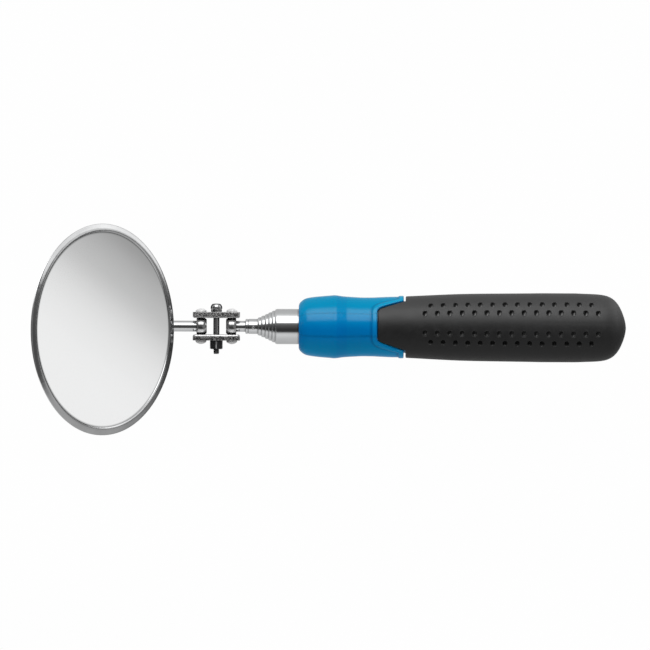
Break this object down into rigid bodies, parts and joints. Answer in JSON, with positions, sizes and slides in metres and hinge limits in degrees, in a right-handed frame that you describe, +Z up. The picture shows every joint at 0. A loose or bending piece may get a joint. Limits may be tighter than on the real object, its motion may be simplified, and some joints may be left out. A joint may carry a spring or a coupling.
{
  "type": "telescoping inspection mirror",
  "caption": "Round mirror in a rolled rim on a bent stem, joined by a double ball joint to nested telescoping tubes in a two-tone moulded handle.",
  "frame": {"origin": "on the tool's axis, at the middle of the grip's cylindrical clip seat", "axes": "+X along the handle towards its butt, +Z up and square to the clamp plates, the mirror at -X looking towards +X and -Y"},
  "size_m": [0.2329, 0.0793, 0.083],
  "materials": {
    "silvered_glass": "silvered float glass",
    "pad_foam": "thin foam",
    "pan_chrome": "bright nickel-chrome plate",
    "pressed_steel": "bright zinc plate",
    "rivet_steel": "bright",
    "rod_chrome": "polished",
    "ball_nickel": "polished nickel plate",
    "plate_nickel": "tumbled nickel plate",
    "screw_steel": "bright zinc plate",
    "nut_steel": "dark zinc plate",
    "tube_chrome": "polished",
    "plug_plastic": "moulded",
    "core_blue": "blue moulded plastic, satin",
    "grip_black": "black elastomer, satin",
    "bush_brass": "drawn brass"
  },
  "bodies": {
    "handle": {"handle_core": "core_blue", "grip": "grip_black", "tube_1": "tube_chrome", "tube_end_plug": "plug_plastic"},
    "section_2": {"tube_2": "tube_chrome", "tube_2_bush": "bush_brass"},
    "section_3": {"tube_3": "tube_chrome", "tube_3_bush": "bush_brass"},
    "section_4": {"tube_4": "tube_chrome", "tube_4_bush": "bush_brass"},
    "section_5": {"tube_5": "tube_chrome", "tube_5_bush": "bush_brass"},
    "section_6": {"tube_6": "tube_chrome", "tube_6_bush": "bush_brass"},
    "section_7_bush": {"tube_7_bush": "bush_brass"},
    "section_7": {"tube_7": "tube_chrome", "tip_ferrule": "tube_chrome", "ball_rod": "rod_chrome", "rod_ball": "ball_nickel"},
    "clamp": {"clamp_plate_upper": "plate_nickel", "clamp_plate_lower": "plate_nickel", "clamp_lock_washer": "screw_steel", "clamp_nut": "nut_steel"},
    "clamp_screw": {"clamp_screw": "screw_steel"},
    "mirror_ball": {"mirror_ball": "ball_nickel"},
    "mirror_head": {"mirror_stem": "rod_chrome", "stem_bracket": "pressed_steel", "bracket_rivets": "rivet_steel", "mirror_pan": "pan_chrome", "glass_backing_pad": "pad_foam", "mirror_glass": "silvered_glass"}
  },
  "joints": [
    {"name": "section_2_slide", "type": "slide", "parent": "handle", "child": "section_2", "axis": [-1, 0, 0], "range_m": [0, 0.107]},
    {"name": "section_3_slide", "type": "slide", "parent": "section_2", "child": "section_3", "axis": [-1, 0, 0], "range_m": [0, 0.107]},
    {"name": "section_4_slide", "type": "slide", "parent": "section_3", "child": "section_4", "axis": [-1, 0, 0], "range_m": [0, 0.107]},
    {"name": "section_5_slide", "type": "slide", "parent": "section_4", "child": "section_5", "axis": [-1, 0, 0], "range_m": [0, 0.107]},
    {"name": "section_6_slide", "type": "slide", "parent": "section_5", "child": "section_6", "axis": [-1, 0, 0], "range_m": [0, 0.107]},
    {"name": "section_7_slide", "type": "slide", "parent": "section_6", "child": "section_7_bush", "axis": [-1, 0, 0], "range_m": [0, 0.107]},
    {"name": "section_7_turn", "type": "hinge", "parent": "section_7_bush", "child": "section_7", "pos_m": [0, 0, 0], "axis": [1, 0, 0], "continuous": true},
    {"name": "rod_ball_swing", "type": "hinge", "parent": "section_7", "child": "clamp", "pos_m": [-0.1282, 0, 0], "axis": [0, 0, 1], "range_deg": [-60, 60]},
    {"name": "clamp_screw_turn", "type": "hinge", "parent": "clamp", "child": "clamp_screw", "pos_m": [-0.13425, 0, 0], "axis": [0, 0, 1], "range_deg": [-180, 180]},
    {"name": "mirror_ball_swing", "type": "hinge", "parent": "clamp", "child": "mirror_ball", "pos_m": [-0.1403, 0, 0], "axis": [0, 0, 1], "range_deg": [-60, 60]},
    {"name": "mirror_stem_roll", "type": "hinge", "parent": "mirror_ball", "child": "mirror_head", "pos_m": [-0.1403, 0, 0], "axis": [-1, 0, 0], "continuous": true}
  ]
}
